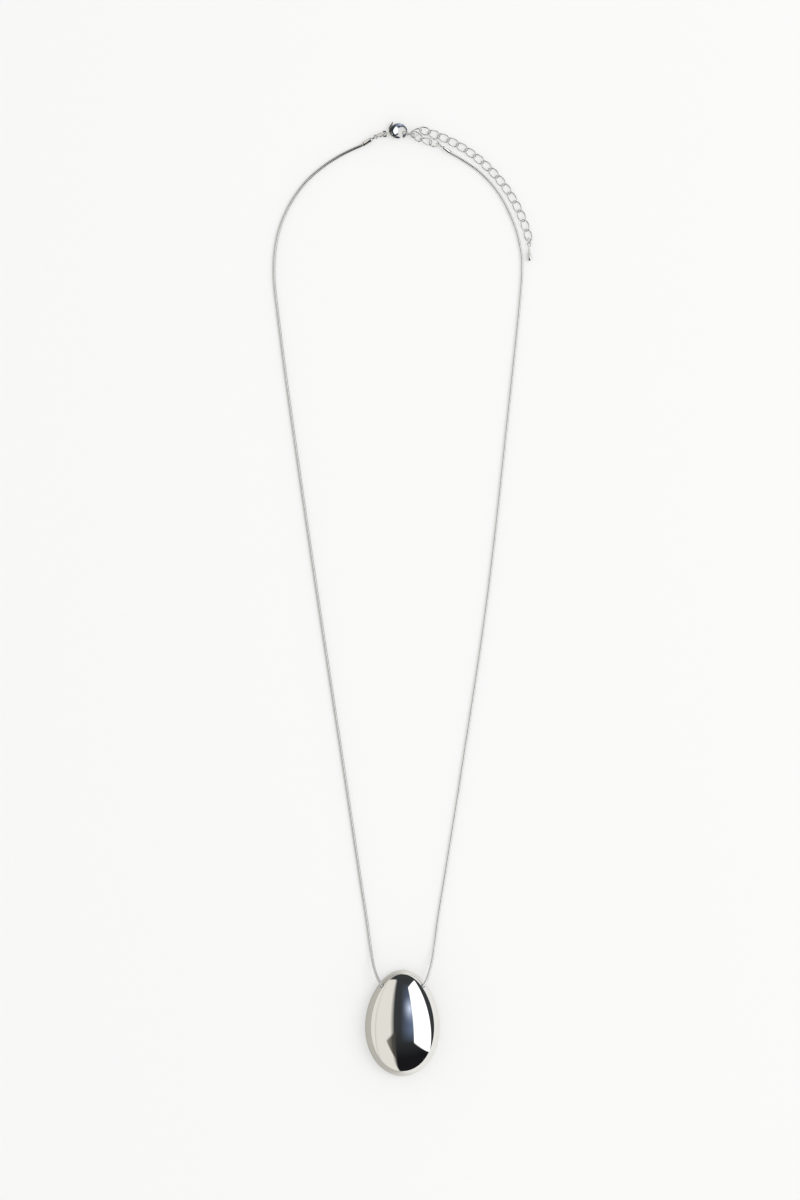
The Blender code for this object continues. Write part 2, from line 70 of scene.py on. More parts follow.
# Pendant: an egg in plan, domed in front and flat behind
EGG_HALF_LENGTH = 21.2 * MM
EGG_HALF_WIDTH = 14.95 * MM
EGG_TAPER = 0.08
EGG_TAPER_SQUARED = 0.02
DOME_ROUNDNESS = 0.65
DISH_ROUNDNESS = 0.25
SEAM_Z = 2.5 * MM
SEAM_GAP = 0.04 * MM
SEAM_ROUNDING = 0.12 * MM
SHELL_WALL = 0.8 * MM
EGG_SEGMENTS = 160
EGG_RINGS = 52
TOP_ELEVATION = math.radians(89.6)
REST_HALVINGS = 40
RIM_STEPS = np.radians((0, 30, 60))
ON_SKIN = 0.004
SAME_FACING = 0.95
DISH_CREASE = math.radians(25)
HOLE_SIDES = 48
HOLE = Vector((8.3, 15.4, 5.7)) * MM
HOLE_RADIUS = 0.9 * MM
HOLE_HEADING = math.radians(45)
HOLE_DROP = math.radians(6)
HOLE_CUT = 6 * MM

# Snake chain: the CAD route from cap to cap, and the wavy rings that the chain is made of
CHAIN_RADIUS = 0.575 * MM
CHAIN_ROUTE = [Vector(point) * MM for point in (
    (-15.5, 351.15, 1.05), (-16.4, 350.6, 0.9), (-20.6, 348.8, 0.62), (-26.0, 346.0, 0.6),
    (-32.0, 342.0, 0.6), (-38.0, 336.8, 0.6), (-43.0, 330.5, 0.6), (-47.0, 323.3, 0.6),
    (-49.9, 315.0, 0.6), (-51.3, 306.0, 0.6), (-51.4, 296.9, 0.6), (-50.4, 287.0, 0.6),
    (-45.9, 252.0, 0.6), (-34.0, 170.0, 0.6), (-22.9, 97.0, 0.6), (-16.9, 57.0, 0.6),
    (-14.4, 41.0, 0.66), (-12.7, 29.0, 1.3), (-11.1, 21.2, 3.6), (-8.3, 15.4, 5.7),
    (-4.3, 12.9, 5.9), (0.0, 12.0, 5.9), (4.3, 12.9, 5.9),
    (8.3, 15.4, 5.7), (10.8, 21.2, 3.6), (12.4, 29.0, 1.3), (14.0, 41.0, 0.66),
    (16.6, 57.0, 0.6), (23.0, 97.0, 0.6), (33.9, 170.0, 0.6), (43.1, 252.0, 0.6),
    (46.9, 289.0, 0.6), (47.7, 303.0, 0.6), (46.6, 312.0, 0.6), (43.6, 321.5, 0.6),
    (38.0, 332.0, 0.6), (30.6, 340.1, 0.6), (22.4, 345.7, 0.62),
    (19.5, 347.35, 0.9), (18.6, 347.95, 1.05),
)]
CHAIN_RING_PITCH = 0.62 * MM
CHAIN_RING_STEPS = 5
CHAIN_SIDES = 16
CHAIN_GROOVE = 0.14
CHAIN_WAVE = 0.3

# Wires: jump rings with a slit, and flat ovals twisted a little so that they pass over and under
JUMP_RING = (1.9 * MM, 0.27 * MM)
CHARM_RING = (1.3 * MM, 0.22 * MM)
RING_SLIT = math.radians(4)
LINK_HALF_LENGTH = 2.45 * MM
LINK_HALF_WIDTH = 1.42 * MM
LINK_TWIST = 0.5 * MM
LINK_WIRE = 0.235 * MM
LINK_COUNT = 20
WIRE_STEPS = 72
WIRE_SIDES = 20

# End caps, along their own axis from the middle of the loop
CAP_LOOP = (0.75 * MM, 0.21 * MM)
CAP_PROFILE = (
    (0.62, 0.0), (0.66, 0.36), (0.78, 0.39), (1.55, 0.39), (1.72, 0.42), (1.85, 0.5), (1.98, 0.62),
    (2.14, 0.76), (2.34, 0.835), (2.6, 0.845), (5.2, 0.845), (5.32, 0.80), (5.4, 0.80), (5.52, 0.845),
    (6.02, 0.845), (6.12, 0.82), (6.15, 0.77), (6.12, 0.7), (6.0, 0.68), (4.96, 0.68), (4.95, 0.0),
)

# Lobster clasp, in millimetres about its own middle: a claw round the eye, a neck, a tail loop,
# and a lever whose gate closes the claw
CLASP_CENTRE = Vector((-1.5, 356.0, 1.65)) * MM
EYE_CENTRE = (1.1, 0.2)
EYE_HALF_LENGTH = 1.55
EYE_HALF_WIDTH = 1.62
CLAW_START = 222
CLAW_TIP = -79
CLAW_RADII = (
    (-79, 0.6), (0, 0.48), (45, 0.52), (90, 0.64), (140, 1.2), (180, 1.86), (206, 1.5), (215, 1.2),
    (222, 0.8),
)
CLAW_HEIGHTS = ((-79, 0.62), (0, 0.52), (90, 0.72), (160, 1.08), (222, 1.08))
CLAW_HALF_THICKNESS = 1.08
CLAW_EDGE = 0.26
CLAW_STEPS = 200
CLAW_SIDES = 64
CLAW_SMOOTHING = 10
CLAW_FILLING = 6
CLAW_CROWN = 0.05
NARROW_CLAW = 0.75
WIDE_CLAW = 1.2
COUNTERSINK_SLOPE = 0.26
TAIL_LOOP = (-5.7, -0.9)
TAIL_LOOP_RADIUS = 0.98
TAIL_LOOP_WIRE = 0.37
NECK = (
    ((-4.72, -0.9), 0.4), ((-4.3, -0.8), 0.62), ((-3.8, -0.62), 0.92), ((-3.3, -0.45), 1.06),
    ((-2.9, -0.35), 1.1),
)
NECK_STEPS = 40
NECK_SIDES = 32
SLOT = (
    (-3.9, -3.2), (0.35, -3.2), (0.35, -0.1), (-1.9, 0.2), (-2.85, 1.0), (-1.75, 3.0), (-1.75, 4.4),
    (-5.2, 4.4), (-5.2, 0.0), (-4.4, -0.5), (-4.1, -1.2),
)
SLOT_HEIGHTS = (-0.55, 0.38)
SPRING_POCKET_RADIUS = 0.72
SPRING_POCKET_TOP = 0.8
CASTING_FLATS = ((-8, -5), (6, -5), (6, 5), (-8, 5))
CASTING_CREASE = math.radians(35)
LEVER = (
    (-3.0, 3.5), (-4.2, 1.6), (-4.2, 0.6), (-3.5, -0.8), (-3.45, -1.4), (-3.0, -1.85), (-2.2, -2.3),
    (-1.2, -2.7), (0.55, -2.75), (0.7, -2.1), (-0.6, -1.75), (-1.9, -1.1), (-2.2, -0.3),
    (-3.2, 0.8), (-3.3, 1.5), (-2.2, 3.2),
)
LEVER_HEIGHTS = (-0.4, 0.3)
LEVER_BEVEL = 0.18 * MM
LEVER_BEVEL_STEPS = 4
LEVER_BEVEL_ANGLE = math.radians(50)
LEVER_FILLING = 4
LEVER_ROUNDING = 2
KNOB = (-2.6, 3.45)
KNOB_RADIUS = 0.42
KNOB_HALF_LENGTH = 0.65
KNOB_EDGE = 0.18
PIVOT = (-2.85, -1.05)
PIN_RADIUS = 0.28
PIN_HOLE_RADIUS = 0.4
PIN_HALF_LENGTH = 1.2
PIN_EDGE = 0.09
PIN_HOLE_REACH = 3
SPRING_RADIUS = 0.5
SPRING_WIRE = 0.07
SPRING_TURNS = 1.75
SPRING_START = math.radians(100)
SPRING_BOTTOM = 0.45
SPRING_PITCH = 0.15
SPRING_STEPS = 40
SPRING_SIDES = 12
SPRING_LEGS = ((0.75, 0.15, 0), (0.1, 0.9, 0))
CASTING_GRAIN = 0.055 * MM

# Drop, along its own axis from the middle of the loop
CHARM_LOOP = (0.75 * MM, 0.19 * MM)
CHARM_TOP = 0.65 * MM
CHARM_LENGTH = 6.2 * MM
CHARM_RADIUS = 1.15 * MM
CHARM_STEM = 0.24
CHARM_BELLY = 1.9
CHARM_FULLNESS = 0.62
CHARM_SLIMMING = 0.35
CHARM_STEPS = 90
CHARM_ENDS = (0.004, 0.996)
CHARM_SIDES = 72
TURNED_CREASE = math.radians(50)
WELD = 0.0005 * MM


def mesh_object(name, mesh):
    made = bpy.data.objects.new(name, mesh)
    bpy.context.scene.collection.objects.link(made)
    return made


def stand_for(piece, node):
    """The piece takes a CAD node's place, on its body."""
    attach(piece, frame["nodes"][node]["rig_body"])
    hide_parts(node)


# ---------------------------------------------------------------- studio

def nodes_of(tree):
    """Empties a node tree and returns the function that adds a node to it."""
    tree.nodes.clear()

    def node(kind, inputs=(), **settings):
        made = tree.nodes.new(kind)
        for key, value in settings.items():
            setattr(made, key, value)
        for key, value in dict(inputs).items():
            if isinstance(value, bpy.types.NodeSocket):
                tree.links.new(value, made.inputs[key])
            else:
                made.inputs[key].default_value = value
        return made
    return node


def calculator(node):
    """Arithmetic on node sockets: calc("ADD", a, b)."""
    def calc(operation, *values, clamp=False):
        made = node("ShaderNodeMath", dict(enumerate(values)), operation=operation, use_clamp=clamp)
        return made.outputs[0]
    return calc


def mix_colours(node, factor, low, high):
    """Blends two colours, each a socket or three numbers."""
    made = node("ShaderNodeMix", {"Factor": factor}, data_type="RGBA")
    for name, value in (("A", low), ("B", high)):
        target = next(s for s in made.inputs if s.name == name and s.type == "RGBA")
        if isinstance(value, bpy.types.NodeSocket):
            made.id_data.links.new(value, target)
        else:
            target.default_value = (*value, 1)
    return next(s for s in made.outputs if s.type == "RGBA")


def make_camera():
    data = bpy.data.cameras.new("camera")
    data.sensor_width = SENSOR
    data.lens = SENSOR * CAMERA_DISTANCE / VIEW_HEIGHT
    data.clip_end = 100
    camera = bpy.data.objects.new("camera", data)
    camera.location = VIEW_CENTRE + Vector((0, 0, CAMERA_DISTANCE))
    bpy.context.scene.collection.objects.link(camera)
    bpy.context.scene.camera = camera


FLOOR_SIZE = 60
FLOOR_COLOUR = (0.93, 0.93, 0.925)
# Painted shade and light: polished metal sees the table's colour darker towards the left, where the room is
# darker, and brighter towards the right
REFLECTED_FLOOR_PAINTED_SHADE = (0.56, 0.55, 0.50)
REFLECTED_FLOOR_PAINTED_LIGHT = (0.98, 0.975, 0.95)
SHADE_REACH = 14 * MM
# A little light of the table's own keeps the shadows faint
FLOOR_GLOW = 0.4
FLOOR_DROP = 0.02 * MM
FLOOR_TOOTH = 900
FLOOR_TOOTH_DEPTH = 0.2 * MM


def make_floor():
    """A matt white table with a very fine tooth, which glows a little and shows painted shade and light in
    reflections.
    """
    work = bmesh.new()
    bmesh.ops.create_grid(work, x_segments=1, y_segments=1, size=FLOOR_SIZE / 2)
    mesh = bpy.data.meshes.new("table")
    work.to_mesh(mesh)
    work.free()
    table = mesh_object("table", mesh)
    material = bpy.data.materials.new("matt_white")
    material.use_nodes = True
    node = nodes_of(material.node_tree)
    place = node("ShaderNodeTexCoord").outputs["Object"]
    tooth = node("ShaderNodeTexNoise", {"Vector": place, "Scale": FLOOR_TOOTH, "Detail": 3})
    bump = node("ShaderNodeBump", {
        "Height": tooth.outputs["Fac"], "Strength": 0.04, "Distance": FLOOR_TOOTH_DEPTH})
    across = node("ShaderNodeSeparateXYZ", {"Vector": place}).outputs[0]
    # Painted shade mask: dark on the left, light on the right
    side = node("ShaderNodeMapRange", {"Value": across, "From Min": -SHADE_REACH, "From Max": SHADE_REACH},
                interpolation_type="SMOOTHSTEP")
    painted_reflected_floor = mix_colours(node, side.outputs[0], REFLECTED_FLOOR_PAINTED_SHADE, REFLECTED_FLOOR_PAINTED_LIGHT)
    path = node("ShaderNodeLightPath").outputs
    # Only reflections get the painted shade and light; the camera and diffuse light see the even white
    colour = mix_colours(node, path["Is Glossy Ray"], FLOOR_COLOUR, painted_reflected_floor)
    shader = node("ShaderNodeBsdfPrincipled", {
        "Base Color": mix_colours(node, FLOOR_GLOW, colour, (0.0, 0.0, 0.0)), "Roughness": 0.9,
        "Specular IOR Level": 0.1, "Emission Color": colour, "Emission Strength": FLOOR_GLOW,
        "Normal": bump.outputs["Normal"]})
    node("ShaderNodeOutputMaterial", {"Surface": shader.outputs[0]})
    mesh.materials.append(material)
    table.location.z = -FLOOR_DROP


# The studio as polished metal sees it, in the stereographic plane about straight up: 1 is the horizon.
# Each half plane is a point on its edge, the direction into the region and the width of its soft edge.
PALE_WALL = (0.93, 0.905, 0.84)
GREY_CORNER = (0.36, 0.35, 0.30)
DARK_CORNER = (0.08, 0.075, 0.065)
CEILING_NEAR = (0.012, 0.012, 0.014)
CEILING_FAR = (0.046, 0.05, 0.054)
SLATE = (0.15, 0.20, 0.31)
WINDOW_LIGHT = (1.6, 1.61, 1.64)
LAMP_GLOW = (0.85, 0.95, 1.2)
LAMP_PLACE = (0.135, 0.135)
LAMP_REACH = 0.16
LAMP_FALLOFF = 2.2
CEILING_FADE = ((0, -0.22), (0, 1), 0.4)
SLATE_EDGES = (
    ((0.06, 0.0), (1, 0.0), 0.2), ((0, 0.35), (0, -1), 0.3), ((0, -0.13), (0, 1), 0.14),
    ((0.4, 0.0), (-1, 0.0), 0.2),
)
WALL_EDGES = (((-0.19, 0.0), (-1, -0.04), 0.08), ((-0.3, 0.66), (-0.45, -1), 0.05))
LOW_WALL_EDGES = (((-0.23, -0.29), (-2, -1), 0.03), ((-0.205, -0.45), (-1, -0.2), 0.03))
SEAM_EDGES = (((-0.645, 0.0), (-1, 0.06), 0.05), ((-0.70, 0.0), (1, -0.06), 0.05))
SEAM_SHADE = 0.2
CORNER_EDGES = (
    ((-0.32, -0.185), (0.11, -0.19), 0.03), ((-0.32, -0.185), (0.3, 0.2), 0.03),
    ((-0.13, 0.0), (-1, 0.0), 0.06),
)
CORNER_FADE = ((-0.25, 0.0), (1, 0.0), 0.14)
WINDOW_EDGES = (
    ((0.17, 0.2), (1, 0.12), 0.02), ((0.4, 0.63), (0.9, -1), 0.02), ((0.19, -0.185), (0.55, 1), 0.02),
    ((0.70, 0.0), (-1, -0.33), 0.02),
)
SOFT_LIGHT = 0.87
SOFTBOX_SIZE = (1.0, 1.2)
SOFTBOX_WATTS = 8
SOFTBOX_OFFSET = Vector((1.1, 0.1, 1.5))


def make_world():
    """Soft white light all round.

    Polished metal sees a dark ceiling, a pale wall, a lamp and a bright window.
    """
    world = bpy.data.worlds.new("studio")
    bpy.context.scene.world = world
    world.use_nodes = True
    node = nodes_of(world.node_tree)
    calc = calculator(node)
    direction = node("ShaderNodeTexCoord").outputs["Generated"]
    split = node("ShaderNodeSeparateXYZ", {"Vector": direction}).outputs
    above = calc("ADD", calc("MAXIMUM", split[2], -0.2), 1.0)
    across = calc("DIVIDE", split[0], above)
    along = calc("DIVIDE", split[1], above)

    def half(point, towards, soft):
        """1 on the side of a straight edge through the point that the direction points to."""
        length = math.hypot(*towards)
        tx, ty = towards[0] / length, towards[1] / length
        offset = point[0] * tx + point[1] * ty
        reached = calc("ADD", calc("MULTIPLY", across, tx), calc("MULTIPLY", along, ty))
        distance = calc("SUBTRACT", reached, offset)
        return calc("ADD", calc("DIVIDE", distance, soft), 0.5, clamp=True)

    def region(edges):
        total = half(*edges[0])
        for edge in edges[1:]:
            total = calc("MULTIPLY", total, half(*edge))
        return total

    def distance_from(place):
        x, y = calc("SUBTRACT", across, place[0]), calc("SUBTRACT", along, place[1])
        return calc("SQRT", calc("ADD", calc("MULTIPLY", x, x), calc("MULTIPLY", y, y)))

    seen = mix_colours(node, half(*CEILING_FADE), CEILING_NEAR, CEILING_FAR)
    seen = mix_colours(node, region(SLATE_EDGES), seen, SLATE)
    wall = calc("MAXIMUM", region(WALL_EDGES), region(LOW_WALL_EDGES))
    seen = mix_colours(node, wall, seen, PALE_WALL)
    seen = mix_colours(node, calc("MULTIPLY", region(SEAM_EDGES), SEAM_SHADE), seen, DARK_CORNER)
    corner_colour = mix_colours(node, half(*CORNER_FADE), GREY_CORNER, DARK_CORNER)
    seen = mix_colours(node, region(CORNER_EDGES), seen, corner_colour)
    glow = calc("SUBTRACT", 1.0, calc("DIVIDE", distance_from(LAMP_PLACE), LAMP_REACH), clamp=True)
    seen = mix_colours(node, calc("POWER", glow, LAMP_FALLOFF), seen, LAMP_GLOW)
    seen = mix_colours(node, region(WINDOW_EDGES), seen, WINDOW_LIGHT)
    path = node("ShaderNodeLightPath").outputs
    soft = mix_colours(node, path["Is Glossy Ray"], (SOFT_LIGHT,) * 3, seen)
    surface = node("ShaderNodeBackground", {"Color": soft, "Strength": 1.0})
    node("ShaderNodeOutputWorld", {"Surface": surface.outputs[0]})


def make_lights():
    """One large soft light, high on the right, gives the faint shadow on the left."""
    data = bpy.data.lights.new("softbox", "AREA")
    data.shape = "RECTANGLE"
    data.size, data.size_y = SOFTBOX_SIZE
    data.energy = SOFTBOX_WATTS
    light = bpy.data.objects.new("softbox", data)
    light.location = VIEW_CENTRE + SOFTBOX_OFFSET
    light.rotation_euler = (VIEW_CENTRE - light.location).to_track_quat("-Z", "Y").to_euler()
    light.visible_glossy = False
    bpy.context.scene.collection.objects.link(light)


# ---------------------------------------------------------------- metals

HAIRLINES = 12000
HAIRLINE_LEAN = (0.2, 0.1, 0.5)
HAIRLINE_STRETCH = (1, 0.06, 1)
HAZE_PATCHES = 90
HAZE_TINT = 0.93
SCRATCH_DEPTH = 0.02 * MM


def polished(name, colour, roughness, scratches):
    """Plated metal with faint polishing lines and hazy patches."""
    material = bpy.data.materials.new(name)
    material.use_nodes = True
    node = nodes_of(material.node_tree)
    calc = calculator(node)
    place = node("ShaderNodeTexCoord").outputs["Object"]
    lines = node("ShaderNodeMapping", {
        "Vector": place, "Rotation": HAIRLINE_LEAN, "Scale": HAIRLINE_STRETCH})
    hair = node("ShaderNodeTexNoise", {"Vector": lines.outputs[0], "Scale": HAIRLINES, "Detail": 4})
    patches = node("ShaderNodeTexNoise", {
        "Vector": place, "Scale": HAZE_PATCHES, "Detail": 5, "Distortion": 0.6})
    haze = calc("POWER", patches.outputs["Fac"], 3.0)
    rough = calc("ADD", calc("MULTIPLY", haze, roughness * 1.5),
                 calc("ADD", calc("MULTIPLY", hair.outputs["Fac"], roughness * 0.5), roughness * 0.5))
    height = calc("MULTIPLY", hair.outputs["Fac"], scratches)
    bump = node("ShaderNodeBump", {"Height": height, "Strength": 0.2, "Distance": SCRATCH_DEPTH})
    tint = mix_colours(node, haze, colour, [channel * HAZE_TINT for channel in colour])
    shader = node("ShaderNodeBsdfPrincipled", {
        "Base Color": tint, "Metallic": 1.0, "Roughness": rough, "Normal": bump.outputs["Normal"]})
    node("ShaderNodeOutputMaterial", {"Surface": shader.outputs[0]})
    return material


# ---------------------------------------------------------------- snake chain

def smooth_route(points, step):
    """A smooth curve through the route's points, as evenly spaced points about one step apart."""
    points = [2 * points[0] - points[1], *points, 2 * points[-1] - points[-2]]
    dense = []
    for before, start, end, after in zip(points, points[1:], points[2:], points[3:]):
        reach = (end - start).length
        leave = (end - before).normalized() * reach
        arrive = (after - start).normalized() * reach
        count = max(4, int(reach / (2 * step)))
        for index in range(count):
            t = index / count
            dense.append(start * (2 * t**3 - 3 * t**2 + 1) + leave * (t**3 - 2 * t**2 + t)
                         + end * (3 * t**2 - 2 * t**3) + arrive * (t**3 - t**2))
    dense.append(points[-2])
    line = np.array(dense)
    along = np.concatenate([[0], np.cumsum(np.linalg.norm(np.diff(line, axis=0), axis=1))])
    count = round(along[-1] / step)
    at = np.linspace(0, along[-1], count + 1)
    return np.stack([np.interp(at, along, line[:, axis]) for axis in range(3)], axis=1), along[-1]


def tube(name, line, radius_at, sides, loop=False):
    """A tube round a line. radius_at gives the radii from the places along it and around it."""
    tangents = np.roll(line, -1, axis=0) - np.roll(line, 1, axis=0) if loop else np.gradient(line, axis=0)
    tangents /= np.linalg.norm(tangents, axis=1)[:, None]
    upright = np.array([0.0, 0.0, 1.0])
    side = np.cross(tangents, upright)
    side /= np.linalg.norm(side, axis=1)[:, None]
    up = np.cross(side, tangents)
    along = np.concatenate([[0], np.cumsum(np.linalg.norm(np.diff(line, axis=0), axis=1))])
    turn = 2 * np.pi * np.arange(sides) / sides
    radii = radius_at(along[:, None], turn[None, :])
    points = line[:, None] + radii[:, :, None] * (
        np.cos(turn)[None, :, None] * side[:, None] + np.sin(turn)[None, :, None] * up[:, None])
    rings, count = len(line), len(line) * sides
    starts = (np.arange(rings if loop else rings - 1) * sides)[:, None]
    first = starts + np.arange(sides)[None, :]
    following = starts + (np.arange(sides)[None, :] + 1) % sides
    quads = np.stack([first, first + sides, following + sides, following], axis=2).reshape(-1, 4) % count
    faces = [tuple(quad) for quad in quads.tolist()]
    if not loop:
        faces.append(tuple(range(sides)))
        faces.append(tuple(range(count - 1, count - sides - 1, -1)))
    mesh = bpy.data.meshes.new(name)
    mesh.from_pydata(points.reshape(-1, 3).tolist(), [], faces)
    mesh.shade_smooth()
    return mesh


def make_chain():
    """Wavy rings, each bulging between two grooves, so that the surface reads as fine scales."""
    step = CHAIN_RING_PITCH / CHAIN_RING_STEPS
    line, length = smooth_route(CHAIN_ROUTE, step)

    def radius_at(along, turn):
        phase = along / CHAIN_RING_PITCH + CHAIN_WAVE * np.sin(2 * turn)
        bulge = np.abs(np.cos(np.pi * phase))
        return CHAIN_RADIUS * (1 - CHAIN_GROOVE * (1 - bulge) ** 2)
    chain = mesh_object("snake_chain_rings", tube("snake_chain_rings", line, radius_at, CHAIN_SIDES))
    chain.data.materials.append(polished("snake_chain_metal", (0.72, 0.72, 0.72), 0.16, 0.05))
    stand_for(chain, "snake_chain")


# ---------------------------------------------------------------- mesh helpers

def new_mesh(name, points, faces):
    mesh = bpy.data.meshes.new(name)
    mesh.from_pydata([tuple(point) for point in points], [], [tuple(face) for face in faces])
    mesh.shade_smooth()
    return mesh


def closed_up(mesh):
    """Welds a mesh's loose ends and turns its faces outward."""
    work = bmesh.new()
    work.from_mesh(mesh)
    bmesh.ops.remove_doubles(work, verts=work.verts, dist=WELD)
    bmesh.ops.recalc_face_normals(work, faces=work.faces)
    work.to_mesh(mesh)
    work.free()
    mesh.shade_smooth()
    return mesh


def turned(name, profile, sides=64):
    """A mesh turned about X from points (x, radius)."""
    turn = 2 * np.pi * np.arange(sides) / sides
    points = [(x, radius * math.cos(a), radius * math.sin(a)) for x, radius in profile for a in turn]
    faces = []
    for ring in range(len(profile) - 1):
        for side in range(sides):
            beside = (side + 1) % sides
            start, end = ring * sides, (ring + 1) * sides
            faces.append((start + side, start + beside, end + beside, end + side))
    return closed_up(new_mesh(name, points, faces))


def joined(name, meshes):
    """Several meshes as one, without welding."""
    work = bmesh.new()
    for mesh in meshes:
        work.from_mesh(mesh)
    whole = bpy.data.meshes.new(name)
    work.to_mesh(whole)
    work.free()
    whole.shade_smooth()
    return whole


def applied(mesh, *modifiers):
    """The mesh after the given modifiers, each a type and its settings."""
    holder = bpy.data.objects.new("holder", mesh)
    bpy.context.scene.collection.objects.link(holder)
    for number, (kind, settings) in enumerate(modifiers):
        modifier = holder.modifiers.new(str(number), kind)
        for key, value in settings.items():
            setattr(modifier, key, value)
    bpy.context.view_layer.update()
    made = bpy.data.meshes.new_from_object(holder.evaluated_get(bpy.context.evaluated_depsgraph_get()))
    bpy.data.objects.remove(holder, do_unlink=True)
    return made


def cut(mesh, *cutters, operation="DIFFERENCE"):
    """The mesh after each cutter in turn."""
    holders = []
    for cutter in cutters:
        holder = bpy.data.objects.new("cutter", cutter)
        bpy.context.scene.collection.objects.link(holder)
        holders.append(holder)
    made = applied(mesh, *[("BOOLEAN", {"object": holder, "operation": operation, "solver": "EXACT"})
                           for holder in holders])
    for holder in holders:
        bpy.data.objects.remove(holder, do_unlink=True)
    return made


def fused(mesh, smoothing):
    """Overlapping solids as one casting, with its inner corners filled a little."""
    made = applied(mesh, ("REMESH", {"mode": "VOXEL", "voxel_size": CASTING_GRAIN}),
                   ("SMOOTH", {"factor": 0.5, "iterations": smoothing}))
    made.shade_smooth()
    return made


def plate(name, outline, low, high):
    """A flat plate with straight sides."""
    work = bmesh.new()
    face = work.faces.new([work.verts.new((x * MM, y * MM, low * MM)) for x, y in outline])
    lifted = bmesh.ops.extrude_face_region(work, geom=[face])
    verts = [item for item in lifted["geom"] if isinstance(item, bmesh.types.BMVert)]
    bmesh.ops.translate(work, vec=(0, 0, (high - low) * MM), verts=verts)
    bmesh.ops.recalc_face_normals(work, faces=work.faces)
    mesh = bpy.data.meshes.new(name)
    work.to_mesh(mesh)
    work.free()
    return mesh


def node_points(node):
    """A CAD node's corners, each once."""
    cad = frame["nodes"][node]
    points = np.empty(len(cad.data.vertices) * 3)
    cad.data.vertices.foreach_get("co", points)
    return np.unique(points.reshape(-1, 3).round(6), axis=0)


def frame_matrix(centre, across, upright):
    """A placement with its X along across and its Z as near upright as that allows."""
    x = Vector(across).normalized()
    y = Vector(upright).cross(x).normalized()
    z = x.cross(y)
    matrix = Matrix((x, y, z)).transposed().to_4x4()
    matrix.translation = Vector(centre)
    return matrix


def flat_frame(points):
    """Middle and principal directions of a flat wire: its length, its width and its normal."""
    middle = points.mean(axis=0)
    _, axes = np.linalg.eigh(np.cov((points - middle).T))
    return middle, axes[:, 2], axes[:, 0]


# ---------------------------------------------------------------- pendant

def egg_normals(points, roundness):
    """Outward normals of the egg at points near its surface, measured from the middle of the seam."""
    along = np.clip(points[:, 1] / EGG_HALF_LENGTH, -1, 1)
    half = EGG_HALF_WIDTH * (1 - EGG_TAPER * along - EGG_TAPER_SQUARED * along**2)
    across, up = points[:, 0] / half, points[:, 2] / (half * roundness)
    slope = EGG_HALF_WIDTH * (-EGG_TAPER - 2 * EGG_TAPER_SQUARED * along) / EGG_HALF_LENGTH
    normals = np.stack([across / half, along / EGG_HALF_LENGTH - (across**2 + up**2) * slope / half,
                        up / (half * roundness)], axis=-1)
    return normals / np.linalg.norm(normals, axis=-1)[:, None]


def half_egg(name, side, roundness, last):
    """Half of the egg as a closed wall with a rounded rim at the seam.

    last gives the last elevation of each heading.
    """
    heading = 2 * np.pi * np.arange(EGG_SEGMENTS) / EGG_SEGMENTS
    spread = np.linspace(0, 1, EGG_RINGS)[:, None]
    elevation = spread * last(heading)[None, :]
    unit = (np.cos(elevation) * np.cos(heading), np.cos(elevation) * np.sin(heading), np.sin(elevation))
    half = EGG_HALF_WIDTH * (1 - EGG_TAPER * unit[1] - EGG_TAPER_SQUARED * unit[1]**2)
    skin = np.stack([unit[0] * half, unit[1] * EGG_HALF_LENGTH, unit[2] * half * roundness], axis=-1)
    normals = egg_normals(skin.reshape(-1, 3), roundness).reshape(skin.shape)
    inner = skin - SHELL_WALL * normals
    inner[..., 2] = np.maximum(inner[..., 2], 0)
    rim = []
    for quarter in RIM_STEPS:
        ring = skin[0] - SEAM_ROUNDING * (1 - math.sin(quarter)) * normals[0]
        ring[:, 2] = SEAM_ROUNDING * (1 - math.cos(quarter))
        rim.append(ring)
    keep = skin[:, 0, 2] > SEAM_ROUNDING
    rings = [inner[i] for i in range(EGG_RINGS - 1, -1, -1) if i == 0 or keep[i]]
    rings += rim + [skin[i] for i in range(EGG_RINGS) if keep[i]]
    points = np.concatenate(rings)
    count = len(rings)
    faces = []
    for ring in range(count - 1):
        for step in range(EGG_SEGMENTS):
            beside = (step + 1) % EGG_SEGMENTS
            start, end = ring * EGG_SEGMENTS, (ring + 1) * EGG_SEGMENTS
            faces.append((start + step, start + beside, end + beside, end + step))
    faces.append(tuple(range(EGG_SEGMENTS - 1, -1, -1)))
    faces.append(tuple((count - 1) * EGG_SEGMENTS + step for step in range(EGG_SEGMENTS)))
    points[:, 2] = SEAM_Z + side * (points[:, 2] + SEAM_GAP / 2)
    return closed_up(new_mesh(name, points, faces))


def true_normals(mesh, roundness):
    """The skin takes the egg's own normals, so that its reflections show no facets."""
    points = np.array([vert.co for vert in mesh.vertices])
    about = points - (0, 0, SEAM_Z)
    exact = egg_normals(about, roundness)
    scaled = about / (EGG_HALF_WIDTH, EGG_HALF_LENGTH, EGG_HALF_WIDTH * roundness)
    along = scaled[:, 1]
    scaled[:, [0, 2]] /= (1 - EGG_TAPER * along - EGG_TAPER_SQUARED * along**2)[:, None]
    on_skin = np.abs(np.linalg.norm(scaled, axis=1) - 1) < ON_SKIN
    loops = []
    for polygon in mesh.polygons:
        flat = np.array(polygon.normal)
        for vertex in polygon.vertices:
            smooth = on_skin[vertex] and np.dot(exact[vertex], flat) > SAME_FACING
            loops.append(tuple(exact[vertex]) if smooth else (0.0, 0.0, 0.0))
    mesh.normals_split_custom_set(loops)


def chain_hole(side):
    """The cutter of one chain hole, which runs through the shoulder on the given side."""
    outward = Vector((side * math.cos(HOLE_HEADING), math.sin(HOLE_HEADING), -math.sin(HOLE_DROP)))
    hole = turned("hole", [(-HOLE_CUT / 2, 0), (-HOLE_CUT / 2, HOLE_RADIUS), (HOLE_CUT / 2, HOLE_RADIUS),
                           (HOLE_CUT / 2, 0)], HOLE_SIDES)
    hole.transform(frame_matrix((side * HOLE.x, HOLE.y, HOLE.z), outward, (0, 0, 1)))
    return hole


